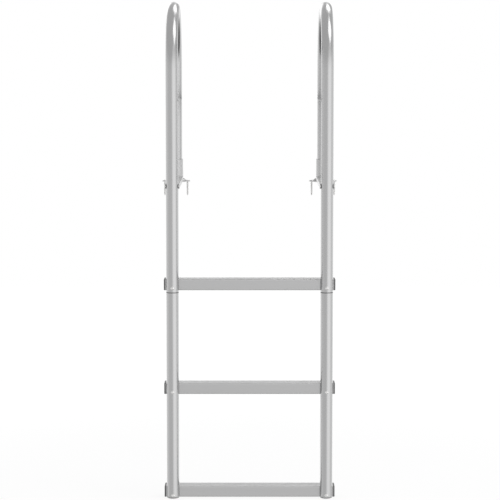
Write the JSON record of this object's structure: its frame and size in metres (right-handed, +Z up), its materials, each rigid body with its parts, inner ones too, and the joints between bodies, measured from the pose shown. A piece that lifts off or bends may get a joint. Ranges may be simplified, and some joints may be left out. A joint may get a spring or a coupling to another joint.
{
  "type": "dock ladder",
  "caption": "Fixed dock ladder of round tube with looped handrails, flat treads, deck struts and screw-down deck flanges.",
  "frame": {"origin": "centre of the left deck flange's underside, on the deck surface", "axes": "+X to the right as seen from the water, +Y away from the water, +Z up"},
  "size_m": [0.532, 0.4049, 1.4474],
  "materials": {
    "rail_aluminium": "satin drawn tube",
    "tread_aluminium": "satin extruded",
    "strut_aluminium": "satin folded channel",
    "cast_aluminium": "fine cast, tumbled",
    "stainless_fastener": "plain stainless",
    "cap_plastic": "moulded, matt",
    "plug_plastic": "moulded, satin"
  },
  "bodies": {
    "root": {"left_deck_flange": "cast_aluminium", "left_deck_strut": "strut_aluminium", "left_foot_plug": "plug_plastic", "left_inner_lag_screw": "stainless_fastener", "left_leg_retainer": "stainless_fastener", "left_lower_rail": "rail_aluminium", "left_outer_lag_screw": "stainless_fastener", "left_splice_sleeve": "rail_aluminium", "left_strut_bolt": "stainless_fastener", "left_strut_nut": "stainless_fastener", "left_tongue_screw": "stainless_fastener", "left_upper_rail": "rail_aluminium", "lower_left_tread_bolt": "stainless_fastener", "lower_left_tread_cap": "cap_plastic", "lower_left_tread_nut": "stainless_fastener", "lower_right_tread_bolt": "stainless_fastener", "lower_right_tread_cap": "cap_plastic", "lower_right_tread_nut": "stainless_fastener", "lower_tread": "tread_aluminium", "middle_left_tread_bolt": "stainless_fastener", "middle_left_tread_cap": "cap_plastic", "middle_left_tread_nut": "stainless_fastener", "middle_right_tread_bolt": "stainless_fastener", "middle_right_tread_cap": "cap_plastic", "middle_right_tread_nut": "stainless_fastener", "middle_tread": "tread_aluminium", "right_deck_flange": "cast_aluminium", "right_deck_strut": "strut_aluminium", "right_foot_plug": "plug_plastic", "right_inner_lag_screw": "stainless_fastener", "right_leg_retainer": "stainless_fastener", "right_lower_rail": "rail_aluminium", "right_outer_lag_screw": "stainless_fastener", "right_splice_sleeve": "rail_aluminium", "right_strut_bolt": "stainless_fastener", "right_strut_nut": "stainless_fastener", "right_tongue_screw": "stainless_fastener", "right_upper_rail": "rail_aluminium", "upper_left_tread_bolt": "stainless_fastener", "upper_left_tread_cap": "cap_plastic", "upper_left_tread_nut": "stainless_fastener", "upper_right_tread_bolt": "stainless_fastener", "upper_right_tread_cap": "cap_plastic", "upper_right_tread_nut": "stainless_fastener", "upper_tread": "tread_aluminium"}
  },
  "joints": []
}
